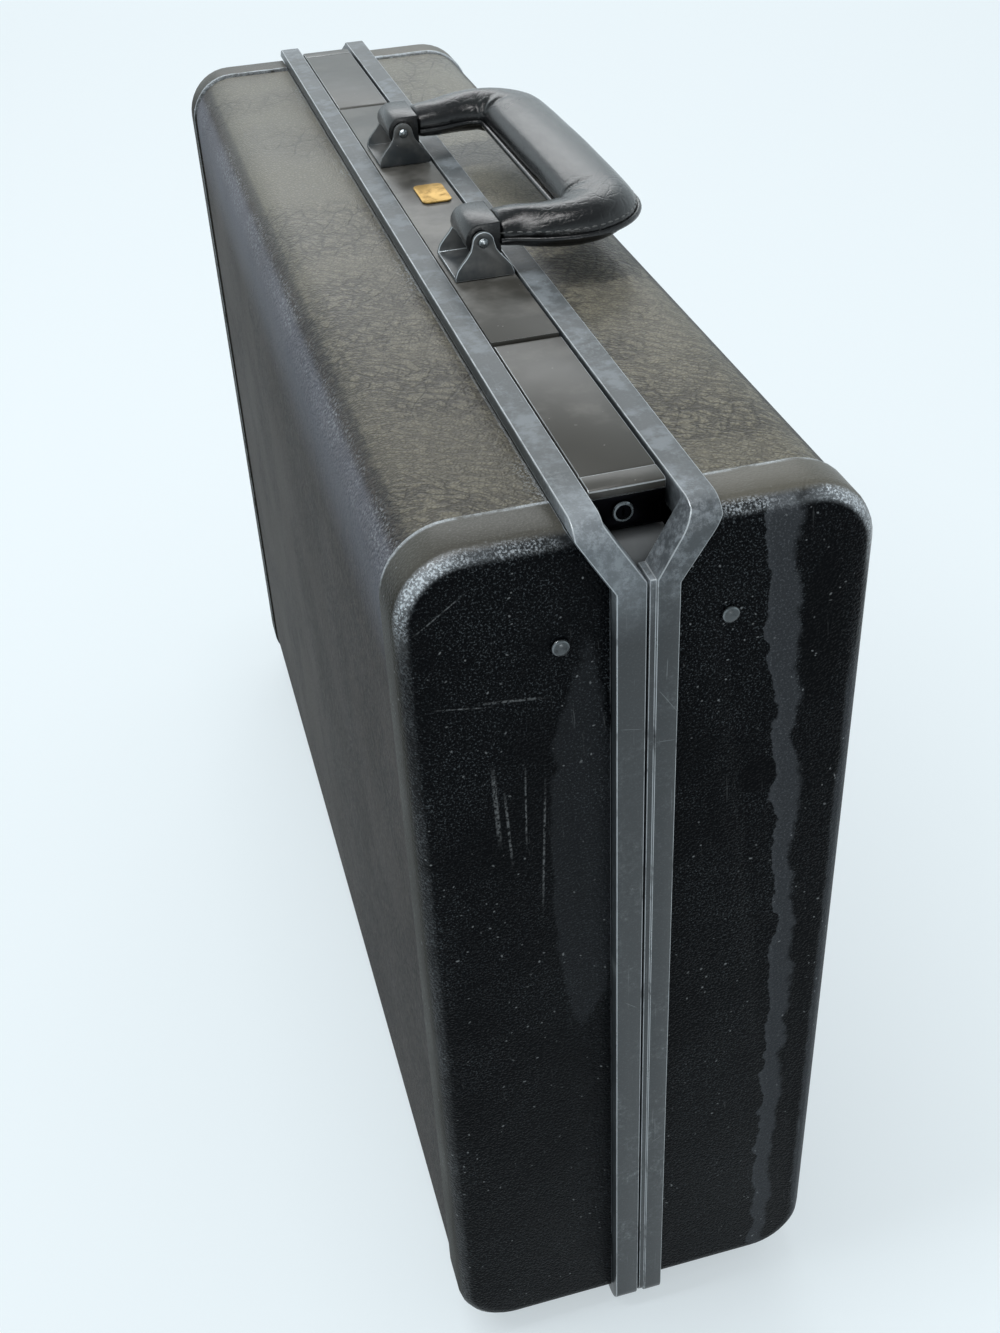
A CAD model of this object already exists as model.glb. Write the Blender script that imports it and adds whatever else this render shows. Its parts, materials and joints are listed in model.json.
"""Looks of a hard-sided attache case: finishes, soft edges, padded handle, light, camera."""

import json
import logging
import math
from dataclasses import dataclass, field
from enum import Enum
from typing import Any, Dict, Iterable, List, Optional, Sequence, Tuple, Union

import bpy
from mathutils import Matrix, Vector

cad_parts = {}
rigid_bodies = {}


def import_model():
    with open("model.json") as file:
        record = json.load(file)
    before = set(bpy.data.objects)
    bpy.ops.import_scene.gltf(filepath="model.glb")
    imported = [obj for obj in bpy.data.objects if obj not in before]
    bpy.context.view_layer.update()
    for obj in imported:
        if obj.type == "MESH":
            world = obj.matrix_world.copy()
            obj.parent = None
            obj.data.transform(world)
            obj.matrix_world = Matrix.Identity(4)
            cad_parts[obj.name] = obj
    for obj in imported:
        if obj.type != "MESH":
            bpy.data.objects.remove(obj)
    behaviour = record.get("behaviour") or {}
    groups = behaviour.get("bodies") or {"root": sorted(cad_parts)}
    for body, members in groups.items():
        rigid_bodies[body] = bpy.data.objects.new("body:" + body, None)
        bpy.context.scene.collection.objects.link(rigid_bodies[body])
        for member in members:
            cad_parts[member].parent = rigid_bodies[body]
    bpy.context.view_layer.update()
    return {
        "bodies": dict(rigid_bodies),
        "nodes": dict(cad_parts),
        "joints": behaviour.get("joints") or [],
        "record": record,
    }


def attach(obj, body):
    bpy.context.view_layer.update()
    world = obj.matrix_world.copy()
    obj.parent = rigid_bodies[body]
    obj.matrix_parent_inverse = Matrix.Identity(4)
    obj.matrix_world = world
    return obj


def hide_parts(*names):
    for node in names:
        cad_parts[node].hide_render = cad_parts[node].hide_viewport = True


LOG = logging.getLogger("case")
MM = 0.001
SIDES = ("near", "far")

# Middle of the handle along the case, and middle of the case across, in millimetres.
HANDLE_MIDDLE_Y = -3.0
CASE_MIDDLE_X = 0.5
# Where the near end cap's face lies; marks that only it has fade in between these places.
NEAR_FACE_Y = (-215.0, -222.0)
# From the base's side of the case's middle to the lid's side.
LID_SIDE_X = (0.0, 10.0)

Number = Union[int, float]
Color = Tuple[float, float, float]
Point = Tuple[float, float, float]
Place = Tuple[float, float]
# The turn of a pattern about each axis in degrees and the scale of each axis after it.
Grid = Tuple[Point, Point]
# The middle of an oval on an end face, as (x, z), and its half width and half height.
Oval = Tuple[Place, Place]
# A straight mark on an end face: its two ends, as (x, z), and half its width.
Mark = Tuple[Place, Place, float]
# The pitch of a pattern's waviness and how far it pushes, in millimetres.
Warp = Tuple[float, float]


# Shader maths


class Value:
    """A quantity that varies over a surface; Python operators add Math nodes to it."""

    def __init__(self, nodes: "Nodes", socket: bpy.types.NodeSocket) -> None:
        """Wraps an output socket.

        Args:
            nodes: the node tree that the socket belongs to.
            socket: the output socket.
        """
        self.nodes = nodes
        self.socket = socket

    def __add__(self, other: "Operand") -> "Value":
        """self + other."""
        return self.nodes.math("ADD", self, other)

    __radd__ = __add__

    def __mul__(self, other: "Operand") -> "Value":
        """self * other."""
        return self.nodes.math("MULTIPLY", self, other)

    __rmul__ = __mul__

    def __sub__(self, other: "Operand") -> "Value":
        """self - other."""
        return self.nodes.math("SUBTRACT", self, other)

    def __rsub__(self, other: "Operand") -> "Value":
        """other - self."""
        return self.nodes.math("SUBTRACT", other, self)

    def __truediv__(self, other: "Operand") -> "Value":
        """self / other."""
        return self.nodes.math("DIVIDE", self, other)

    def __abs__(self) -> "Value":
        """The absolute value."""
        return self.nodes.math("ABSOLUTE", self)

    def over(self, low: Number, high: Number) -> "Value":
        """A smooth step that is 0 below low and 1 above high.

        Args:
            low: where the step starts.
            high: where it ends; below low, the step falls instead of rising.

        Returns:
            The step, from 0 to 1.
        """
        rising = high > low
        ends = (low, high) if rising else (high, low)
        step = self.nodes.node(
            "ShaderNodeMapRange",
            {"interpolation_type": "SMOOTHSTEP"},
            {"Value": self, "From Min": ends[0], "From Max": ends[1]},
        )
        result = Value(self.nodes, step.outputs["Result"])
        return result if rising else 1 - result

    def clip(self) -> "Value":
        """The value held between 0 and 1."""
        return self.nodes.math("MINIMUM", self.nodes.math("MAXIMUM", self, 0.0), 1.0)


Operand = Union[Value, Number]


@dataclass(frozen=True)
class Grain:
    """A noise about 0.5, or a smooth step of it.

    Attributes:
        pitch: the length of its largest waves, in millimetres.
        detail: how many finer octaves are added.
        roughness: how strong they are.
        offset: moves the pattern, so that two noises of one pitch differ.
        step: where a smooth step of the noise starts and ends.
        grid: the turn and stretch of the pattern.
        warp: the waviness of the pattern.
    """

    pitch: float
    detail: float = 2.0
    roughness: float = 0.5
    offset: float = 0.0
    step: Optional[Place] = None
    grid: Optional[Grid] = None
    warp: Optional[Warp] = None


@dataclass(frozen=True)
class Cells:
    """A smooth step of the distances inside a pattern of wavy cells.

    Attributes:
        pitch: the size of a cell, in millimetres.
        warp: the waviness of the pattern.
        step: where the step starts and ends.
        feature: the distance that is meant, from a cell's edge or from its middle (F1).
        grid: the turn and stretch of the pattern.
    """

    pitch: float
    warp: Warp
    step: Place
    feature: str = "DISTANCE_TO_EDGE"
    grid: Optional[Grid] = None


class Nodes:
    """A node tree under construction, of a material or of the world."""

    def __init__(self, tree: bpy.types.NodeTree) -> None:
        """Empties the tree.

        Args:
            tree: the tree.
        """
        self.tree = tree
        tree.nodes.clear()

    def node(
        self,
        kind: str,
        settings: Optional[Dict[str, Any]] = None,
        inputs: Optional[Dict[Union[str, int], Any]] = None,
    ) -> bpy.types.Node:
        """Adds one node.

        Args:
            kind: the node's type name.
            settings: properties, which are set first.
            inputs: a value, a Value or a socket for each input socket.

        Returns:
            The node.
        """
        node = self.tree.nodes.new(kind)
        for key, value in (settings or {}).items():
            setattr(node, key, value)
        for key, value in (inputs or {}).items():
            if isinstance(value, Value):
                value = value.socket
            if isinstance(value, bpy.types.NodeSocket):
                self.tree.links.new(value, node.inputs[key])
            else:
                node.inputs[key].default_value = value
        return node

    def math(self, operation: str, *operands: Operand) -> Value:
        """Adds a Math node.

        Args:
            operation: the node's operation.
            *operands: its inputs.

        Returns:
            Its value.
        """
        inputs = dict(enumerate(operands))
        node = self.node("ShaderNodeMath", {"operation": operation}, inputs)
        return Value(self, node.outputs[0])

    def seen_ray(self) -> Value:
        """Tells the rays that show a surface: camera, mirrored and refracted ones.

        Returns:
            1 for those rays and 0 for the others.
        """
        ray = self.node("ShaderNodeLightPath")
        shown = Value(self, ray.outputs["Is Camera Ray"])
        for name in ("Is Glossy Ray", "Is Transmission Ray"):
            shown = self.math("MAXIMUM", shown, Value(self, ray.outputs[name]))
        return shown


class Shader(Nodes):
    """A material under construction, with the patterns that the finishes share."""

    streak_taper = 0.3
    blot_unevenness = 1.6
    blot_rim = (1.15, 0.85)

    def __init__(self, name: str) -> None:
        """Makes an empty node material.

        Args:
            name: the material's name.
        """
        self.material = bpy.data.materials.new(name)
        self.material.use_nodes = True
        super().__init__(self.material.node_tree)
        place = self.node("ShaderNodeTexCoord").outputs["Object"]
        self.place = self.scaled(place, (1 / MM,) * 3)
        parts = self.node("ShaderNodeSeparateXYZ", {}, {"Vector": self.place})
        self.x, self.y, self.z = (Value(self, parts.outputs[axis]) for axis in "XYZ")

    def scaled(self, vector: bpy.types.NodeSocket, scale: Point) -> bpy.types.NodeSocket:
        """The vector with each axis multiplied by its scale."""
        node = self.node(
            "ShaderNodeVectorMath", {"operation": "MULTIPLY"}, {0: vector, 1: scale}
        )
        return node.outputs[0]

    def gridded(self, grid: Optional[Grid]) -> bpy.types.NodeSocket:
        """The place on the piece, turned and scaled, in millimetres.

        Args:
            grid: the turn about each axis in degrees and the scale after it, or None.

        Returns:
            The vector socket.
        """
        if grid is None:
            return self.place
        angles_deg, scale = grid
        turn = tuple(math.radians(a) for a in angles_deg)
        node = self.node(
            "ShaderNodeMapping",
            {"vector_type": "POINT"},
            {"Vector": self.place, "Rotation": turn},
        )
        return self.scaled(node.outputs[0], scale)

    def warped(
        self, vector: bpy.types.NodeSocket, pitch: float, amount: float
    ) -> bpy.types.NodeSocket:
        """The vector pushed about by a noise.

        Args:
            vector: the vector to push.
            pitch: the size of the noise's waves, in the vector's units.
            amount: how far it pushes, in the same units.

        Returns:
            The vector socket.
        """
        wave = self.node(
            "ShaderNodeTexNoise", {}, {"Vector": vector, "Scale": 1 / pitch, "Detail": 1.0}
        )
        centred = self.node(
            "ShaderNodeVectorMath",
            {"operation": "SUBTRACT"},
            {0: wave.outputs["Color"], 1: (0.5, 0.5, 0.5)},
        )
        push = self.scaled(centred.outputs[0], (2 * amount,) * 3)
        total = self.node("ShaderNodeVectorMath", {"operation": "ADD"}, {0: vector, 1: push})
        return total.outputs[0]

    def noise(self, grain: Grain) -> Value:
        """A noise over the surface.

        Args:
            grain: its measures.

        Returns:
            The noise, or its step.
        """
        vector = self.gridded(grain.grid)
        if grain.warp:
            vector = self.warped(vector, *grain.warp)
        if grain.offset:
            moved = self.node(
                "ShaderNodeVectorMath", {"operation": "ADD"}, {0: vector, 1: (grain.offset,) * 3}
            )
            vector = moved.outputs[0]
        node = self.node(
            "ShaderNodeTexNoise",
            {},
            {
                "Vector": vector,
                "Scale": 1 / grain.pitch,
                "Detail": grain.detail,
                "Roughness": grain.roughness,
            },
        )
        wave = Value(self, node.outputs["Fac"])
        return wave.over(*grain.step) if grain.step else wave

    def cells(self, cells: Cells) -> Value:
        """A pattern of cells over the surface.

        Args:
            cells: its measures.

        Returns:
            The step of the distance inside each cell.
        """
        vector = self.warped(self.gridded(cells.grid), *cells.warp)
        node = self.node(
            "ShaderNodeTexVoronoi",
            {"feature": cells.feature},
            {"Vector": vector, "Scale": 1 / cells.pitch},
        )
        return Value(self, node.outputs["Distance"]).over(*cells.step)

    def streak(self, start: Place, end: Place, half: float) -> Value:
        """A thin straight mark on an end face.

        Args:
            start: one end, as (x, z) in millimetres.
            end: the other end.
            half: half its width.

        Returns:
            1 on the mark and 0 beside it.
        """
        run, rise = end[0] - start[0], end[1] - start[1]
        length = math.hypot(run, rise)
        run, rise = run / length, rise / length
        x, z = self.x - start[0], self.z - start[1]
        across = abs(x * rise - z * run).over(half, half * self.streak_taper)
        along = x * run + z * rise
        taper = length * self.streak_taper
        return across * along.over(0.0, taper) * along.over(length, length - taper)

    def streaks(self, marks: Sequence[Mark]) -> Value:
        """Several thin straight marks on an end face.

        Args:
            marks: their ends and half widths, as for streak.

        Returns:
            1 on the marks and 0 beside them.
        """
        total = self.streak(*marks[0])
        for mark in marks[1:]:
            total = total + self.streak(*mark)
        return total

    def outline(self, half_size: Place, middle_z: float, radius: float) -> Value:
        """The distance from the inner corner points of a rounded oblong end face.

        Args:
            half_size: half its width and half its height, in millimetres.
            middle_z: the height of its middle.
            radius: the radius of its corners.

        Returns:
            The distance, which is the radius on the outline and less inside it.
        """
        x = self.math("MAXIMUM", abs(self.x) - (half_size[0] - radius), 0.0)
        z = self.math("MAXIMUM", abs(self.z - middle_z) - (half_size[1] - radius), 0.0)
        return self.math("SQRT", x * x + z * z)

    def blot(self, centre: Place, radii: Place, rim: Value) -> Value:
        """A soft-edged oval on an end face.

        Args:
            centre: its middle, as (x, z) in millimetres.
            radii: its half width and half height.
            rim: a noise that makes the outline uneven.

        Returns:
            1 inside and 0 outside.
        """
        x = (self.x - centre[0]) / radii[0]
        z = (self.z - centre[1]) / radii[1]
        return (x * x + z * z + (rim - 0.5) * self.blot_unevenness).over(*self.blot_rim)

    def attribute(self, name: str) -> Value:
        """The piece's own attribute of that name."""
        node = self.node("ShaderNodeAttribute", {"attribute_name": name})
        return Value(self, node.outputs["Fac"])

    def blend(
        self,
        first: Union[Color, bpy.types.NodeSocket],
        second: Union[Color, bpy.types.NodeSocket],
        factor: Operand,
    ) -> bpy.types.NodeSocket:
        """A colour between two.

        Args:
            first: the colour where the factor is 0.
            second: the colour where it is 1.
            factor: how much of the second shows.

        Returns:
            The colour socket.
        """
        full = [c if isinstance(c, bpy.types.NodeSocket) else (*c, 1.0) for c in (first, second)]
        node = self.node(
            "ShaderNodeMix",
            {"data_type": "RGBA", "clamp_factor": True},
            {"Factor": factor, 6: full[0], 7: full[1]},
        )
        return node.outputs[2]

    def bump(
        self,
        height: Value,
        strength: float,
        depth: float,
        under: Optional[bpy.types.NodeSocket] = None,
    ) -> bpy.types.NodeSocket:
        """Relief on the surface.

        Args:
            height: the relief, from 0 to 1.
            strength: how much of it shows.
            depth: its depth in millimetres.
            under: a normal that this relief is added to.

        Returns:
            The normal.
        """
        inputs: Dict[Union[str, int], Any] = {
            "Height": height,
            "Strength": strength,
            "Distance": depth * MM,
        }
        if under:
            inputs["Normal"] = under
        return self.node("ShaderNodeBump", {}, inputs).outputs["Normal"]

    def finish(self, **sockets: Any) -> bpy.types.Material:
        """Closes the material with one Principled shader.

        Args:
            **sockets: its inputs, with underscores for the spaces in their names.

        Returns:
            The finished material.
        """
        inputs = {key.replace("_", " "): value for key, value in sockets.items()}
        skin = self.node("ShaderNodeBsdfPrincipled", {}, inputs)
        self.node("ShaderNodeOutputMaterial", {}, {"Surface": skin.outputs["BSDF"]})
        return self.material


# Finishes


class Slot(Enum):
    """The material slots of the record."""

    GRAINED_VINYL = "grained_vinyl"
    PEBBLE_VINYL = "pebble_vinyl"
    FRAME_METAL = "frame_metal"
    SATIN_BLACK = "satin_black"
    BRACKET_METAL = "bracket_metal"
    BRIGHT_STEEL = "bright_steel"
    HANDLE_LEATHER = "handle_leather"
    LINING_CLOTH = "lining_cloth"
    POCKET_VINYL = "pocket_vinyl"
    FOOT_PLASTIC = "foot_plastic"
    BADGE_BRASS = "badge_brass"


WORN = "worn"


@dataclass(frozen=True)
class GrainedVinyl:
    """Satin black vinyl with a fine wrinkled leather grain, dusty on the handle side."""

    ridge: Color = (0.058, 0.051, 0.045)
    dusty: Color = (0.200, 0.190, 0.142)
    shadowed: Color = (0.009, 0.009, 0.011)
    hazed: Color = (0.160, 0.175, 0.210)
    scuffed: Color = (0.36, 0.40, 0.43)
    roughness: float = 0.50
    top_z: Place = (331.0, 339.0)
    flat_x: Place = (60.0, 56.5)
    fold_y: Place = (60.0, -90.0)
    ridge_inner_x: Place = (56.0, 57.5)
    ridge_outer_x: Place = (60.0, 58.5)
    haze_z: Place = (285.0, 325.0)
    haze_x: Place = (59.8, 62.5)
    beside_band_x: Place = (25.5, 20.5)
    shoulder_x: Place = (58.0, 60.5)
    shoulder_low_z: Place = (322.0, 330.0)
    shoulder_high_z: Place = (339.5, 337.0)
    pebble: Cells = Cells(1.35, (2.6, 0.6), (0.0, 0.30))
    crease: Cells = Cells(7.0, (9.0, 2.2), (0.0, 0.08), grid=((0, 0, 24), (1.0, 0.42, 1.0)))
    wrinkle: Grain = Grain(
        2.8, 2.5, 0.62, grid=((0, 0, 40), (0.42, 1.0, 0.6)), warp=(11.0, 3.0)
    )
    wrinkle_depth: Place = (0.0, 0.10)
    patch: Grain = Grain(46.0, step=(0.36, 0.62))
    cloud: Grain = Grain(60.0, 3.0, 0.6)
    mottle: Grain = Grain(0.9, offset=31.0)
    fleck: Grain = Grain(1.1, 3.0, 0.75, 11.0, (0.50, 0.62))
    beside_patch: Grain = Grain(34.0, offset=6.0, step=(0.42, 0.6))
    shoulder_patch: Grain = Grain(26.0, offset=16.0, step=(0.30, 0.6))

    def build(self) -> bpy.types.Material:
        """Makes the material."""
        s = Shader("grained_vinyl_worn")
        relief, high, wrinkle = self.grained(s)
        top = s.z.over(*self.top_z)
        cloud = s.noise(self.cloud)
        body = self.dusted(s, high, top, cloud)
        # The long rounded edge: a dark drawn ridge, then a bluish rubbed band.
        edge = abs(s.x).over(*self.ridge_inner_x) * abs(s.x).over(*self.ridge_outer_x) * top
        body = s.blend(body, self.shadowed, edge * (1 - wrinkle * 0.5) * 0.75)
        haze = s.z.over(*self.haze_z) * abs(s.x).over(*self.haze_x)
        body = s.blend(body, self.hazed, haze * (0.35 + cloud * 0.6))
        tint = s.blend(body, self.scuffed, (self.rubbed(s, top) * 0.75).clip())
        rough = self.roughness + (cloud - 0.5) * 0.2 + (1 - top) * 0.25 - high * 0.05
        return s.finish(
            Base_Color=tint,
            Roughness=rough.clip(),
            Specular_IOR_Level=0.30,
            Coat_Weight=(top * 0.35).clip(),
            Coat_Roughness=0.38,
            Normal=s.bump(relief, 1.0, 0.5),
        )

    def grained(self, s: Shader) -> Tuple[Value, Value, Value]:
        """The leather grain: fine pebbles, wrinkles that thicken towards the near end, creases.

        Args:
            s: the material.

        Returns:
            The relief, how high each spot of it lies, and the wrinkles alone.
        """
        pebble = s.cells(self.pebble)
        wrinkle = abs(s.noise(self.wrinkle) - 0.5).over(*self.wrinkle_depth)
        patch = s.noise(self.patch)
        nearer = (s.y.over(*self.fold_y) * 0.6 + patch * 0.5).clip()
        creased = 1 - (1 - s.cells(self.crease)) * patch
        folded = 1 - (1 - wrinkle) * nearer
        relief = pebble * 0.35 + folded * 0.75 + creased * 0.4
        high = (pebble * 0.5 + 0.5) * (folded * 0.88 + 0.12) * (creased * 0.6 + 0.4)
        return relief, high, wrinkle

    def dusted(self, s: Shader, high: Value, top: Value, cloud: Value) -> bpy.types.NodeSocket:
        """The vinyl's colour: dark valleys, and heights that are dusty on the handle side.

        Args:
            s: the material.
            high: where the grain's heights are.
            top: where the handle side is.
            cloud: how much dust lies there.

        Returns:
            The colour socket.
        """
        flat = abs(s.x).over(*self.flat_x)
        dust = top * flat * (0.48 + cloud * 0.6 + s.x.over(*LID_SIDE_X) * 0.36)
        ridge = s.blend(self.ridge, self.dusty, dust.clip())
        valley = s.blend(self.shadowed, self.ridge, top * 0.45)
        return s.blend(valley, ridge, (high * 0.9 + s.noise(self.mottle) * 0.25).clip())

    def rubbed(self, s: Shader, top: Value) -> Value:
        """Pale flecks beside the bands and along the shoulders, and worn edges.

        Args:
            s: the material.
            top: where the handle side is.

        Returns:
            How rubbed the vinyl is.
        """
        beside = abs(s.x).over(*self.beside_band_x) * top * s.noise(self.beside_patch)
        shoulder = s.z.over(*self.shoulder_low_z) * s.z.over(*self.shoulder_high_z)
        shoulder = shoulder * abs(s.x).over(*self.shoulder_x) * s.noise(self.shoulder_patch)
        flecks = (beside + shoulder * 0.75).clip() * s.noise(self.fleck)
        return flecks + s.attribute(WORN) * 0.5


@dataclass(frozen=True)
class PebbleVinyl:
    """Glossy black pebbled vinyl of the moulded end caps, with scuffs, specks and a tide mark."""

    color: Color = (0.0020, 0.0026, 0.0036)
    glint: Color = (0.075, 0.090, 0.100)
    film: Color = (0.118, 0.132, 0.148)
    half_size: Place = (66.2, 166.95)
    middle_z: float = 173.95
    corner_radius: float = 20.0
    dusty: Color = (0.105, 0.102, 0.084)
    speck: Color = (0.42, 0.46, 0.48)
    scuffed: Color = (0.62, 0.70, 0.76)
    roughness: float = 0.30
    skirt_y: Place = (227.0, 224.5)
    top_z: Place = (326.0, 338.0)
    lip_y: Place = (212.8, 211.7)
    lip_z: Place = (322.0, 330.0)
    bend_from_y: Place = (224.5, 227.0)
    bend_to_y: Place = (229.7, 228.2)
    bend_inward: Place = (4.4, 2.4)
    bend_z: Place = (306.0, 324.0)
    polished_z: Place = (325.0, 333.0)
    polished_x: Place = (28.0, 58.0)
    corner_x: Place = (46.0, 60.0)
    corner_z: Place = (318.0, 334.0)
    upper_z: Place = (90.0, 320.0)
    shore_x: float = 45.0
    shore_from_z: float = 190.0
    inner_x: float = 51.0
    line_z: Place = (30.0, 60.0)
    strip_x: Place = (60.0, 61.5)
    strip_z: Place = (300.0, 270.0)
    scratches: Tuple[Mark, ...] = (
        ((-46.5, 330.6), (-62.5, 319.0), 0.28),
        ((-47.5, 294.8), (-25.5, 292.2), 0.55),
        ((-59.0, 295.6), (-41.0, 292.6), 0.32),
        ((-43.2, 274.0), (-42.2, 241.5), 0.9),
        ((-40.2, 264.0), (-38.8, 232.0), 0.55),
        ((-33.9, 273.0), (-34.6, 238.0), 0.35),
        ((-28.2, 268.0), (-30.6, 211.0), 0.45),
    )
    wander: float = 13.0
    shore_lean: float = 0.075
    inner_lean: float = 0.062
    shore_edge: Place = (-0.4, 0.4)
    inner_edge: Place = (1.2, -1.2)
    line_edge: Place = (0.9, 0.25)
    corner_ovals: Tuple[Oval, ...] = (((60.0, 313.0), (8.0, 22.0)), ((52.0, 298.0), (6.5, 30.0)))
    haze_oval: Oval = ((-17.0, 230.0), (10.0, 72.0))
    bare_ovals: Tuple[Oval, ...] = (((35.3, 249.0), (5.5, 7.0)), ((51.5, 296.0), (5.5, 26.0)))
    pebble: Cells = Cells(0.9, (2.5, 0.4), (0.05, 0.75), "F1")
    specks: Cells = Cells(3.6, (4.0, 1.5), (0.13, 0.06), "F1")
    sag: Grain = Grain(34.0)
    rim: Grain = Grain(15.0, 4.0, 0.6, 2.0)
    grit: Grain = Grain(0.66, 2.0, 0.8, 9.0, (0.53, 0.73))
    veil: Grain = Grain(30.0, 3.0, 0.6, 3.0, (0.30, 0.66))
    speck_patch: Grain = Grain(19.0, offset=5.0, step=(0.42, 0.58))
    broken: Grain = Grain(1.1, 3.0, 0.7, 17.0, (0.38, 0.60))
    hair: Grain = Grain(
        1.0, 2.0, 0.6, step=(0.66, 0.76), grid=((3, 4, 2), (1.1, 1.1, 0.028))
    )
    hair_patch: Grain = Grain(38.0, offset=3.0, step=(0.5, 0.68))
    lip_patch: Grain = Grain(9.0, 3.0, 0.6, 41.0, (0.3, 0.55))
    flake: Grain = Grain(0.7, 3.0, 0.75, 21.0, (0.47, 0.62))
    bend_patch: Grain = Grain(17.0, 3.0, 0.6, 25.0, (0.38, 0.58))
    shine_patch: Grain = Grain(7.0, 3.0, 0.6, 43.0, (0.2, 0.5))
    worn_patch: Grain = Grain(11.0, 4.0, 0.7, 28.0, (0.30, 0.5))

    def build(self) -> bpy.types.Material:
        """Makes the material."""
        s = Shader("pebble_vinyl_worn")
        sag = s.noise(self.sag)
        grit = s.noise(self.grit)
        film, gone = self.marks(s, s.noise(self.rim))
        skirt = abs(s.y).over(*self.skirt_y)
        top = s.z.over(*self.top_z) * skirt
        side = (1 - top) * skirt
        bend = self.rounding(s)
        upper = s.z.over(*self.upper_z)
        sparkle = grit * (0.25 + s.noise(self.veil) * 0.8) * gone * (0.9 + upper * 0.6)
        body = s.blend(self.color, self.glint, sparkle.clip())
        body = s.blend(body, self.film, (film * (0.45 + grit * 0.55)).clip())
        dust = top * (0.58 + grit * 0.38 + s.x.over(*LID_SIDE_X) * 0.5) + side * 0.3
        body = s.blend(body, self.dusty, dust.clip())
        body = s.blend(body, self.speck, self.scratched(s).clip())
        tint = s.blend(body, self.scuffed, self.rubbed(s, bend).clip())
        rough = self.roughness + film * 0.22 + top * 0.14 + side * 0.2 + (sag - 0.5) * 0.2
        return s.finish(
            Base_Color=tint,
            Roughness=rough.clip(),
            Specular_IOR_Level=0.035,
            Coat_Weight=(top * 0.5 + bend).clip(),
            Coat_Roughness=0.36,
            Normal=s.bump(s.cells(self.pebble), 0.8, 0.2, s.bump(sag, 0.25, 1.2)),
        )

    def scratched(self, s: Shader) -> Value:
        """Pale specks, fine upright hairlines and the near face's deeper scratches.

        Args:
            s: the material.

        Returns:
            How pale they make it.
        """
        specks = s.cells(self.specks) * s.noise(self.speck_patch)
        cuts = s.streaks(self.scratches) * s.y.over(*NEAR_FACE_Y) * s.noise(self.broken)
        hairs = s.noise(self.hair) * s.noise(self.hair_patch)
        return specks * 0.5 + cuts * 0.34 + hairs * 0.16

    def rounding(self, s: Shader) -> Value:
        """The rounding between an end face and the skirt round it.

        Args:
            s: the material.

        Returns:
            Where it is, and stronger towards the top.
        """
        bend = abs(s.y).over(*self.bend_from_y) * abs(s.y).over(*self.bend_to_y)
        inward = self.corner_radius - s.outline(self.half_size, self.middle_z, self.corner_radius)
        return bend * inward.over(*self.bend_inward) * (0.15 + s.z.over(*self.bend_z) * 0.85)

    def rubbed(self, s: Shader, bend: Value) -> Value:
        """Where the vinyl is rubbed pale: the rounding, its corners, the lip and worn edges.

        Args:
            s: the material.
            bend: where the rounding is.

        Returns:
            How pale it is.
        """
        flake = s.noise(self.flake)
        rub = bend * flake * s.noise(self.bend_patch)
        polished = bend * s.z.over(*self.polished_z) * abs(s.x).over(*self.polished_x)
        shine = polished * (0.35 + flake * 0.65) * s.noise(self.shine_patch)
        corner = abs(s.x).over(*self.corner_x) * s.z.over(*self.corner_z) * bend
        lip = abs(s.y).over(*self.lip_y) * s.z.over(*self.lip_z) * s.noise(self.lip_patch)
        rub = rub * 0.8 + shine * 0.6 + corner * (0.3 + flake * 0.9) + lip * (0.5 + flake * 0.5)
        return rub * 0.75 + s.attribute(WORN) * s.noise(self.worn_patch) * 0.5

    def marks(self, s: Shader, rim: Value) -> Tuple[Value, Value]:
        """The old spill on the lid's near cap and the hazy strip on the base's.

        Args:
            s: the material.
            rim: a noise that makes the outlines uneven.

        Returns:
            How dull the film is, and where the fine glints are left.
        """
        near = s.y.over(*NEAR_FACE_Y)
        wander = (rim - 0.5) * self.wander
        high = s.math("MAXIMUM", s.z - self.shore_from_z, 0.0)
        shore = s.x + wander + high * self.shore_lean - self.shore_x
        inner = s.x + wander + high * self.inner_lean - self.inner_x
        band = shore.over(*self.shore_edge) * inner.over(*self.inner_edge)
        line = abs(shore).over(*self.line_edge) * s.z.over(*self.line_z)
        strip = (s.x + wander * 0.35).over(*self.strip_x) * s.z.over(*self.strip_z)
        first, second = (s.blot(*oval, rim) for oval in self.corner_ovals)
        haze = s.blot(*self.haze_oval, rim)
        low, tall = (s.blot(*oval, rim) for oval in self.bare_ovals)
        spill = band * 0.85 + line + strip * 0.8 - first * second * 0.3
        film = (spill + haze * 0.27).clip() * near
        gone = 1 - ((low + tall).clip() + inner.over(0.0, 2.0) * 0.6).clip() * near * 0.9
        return film, gone


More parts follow.
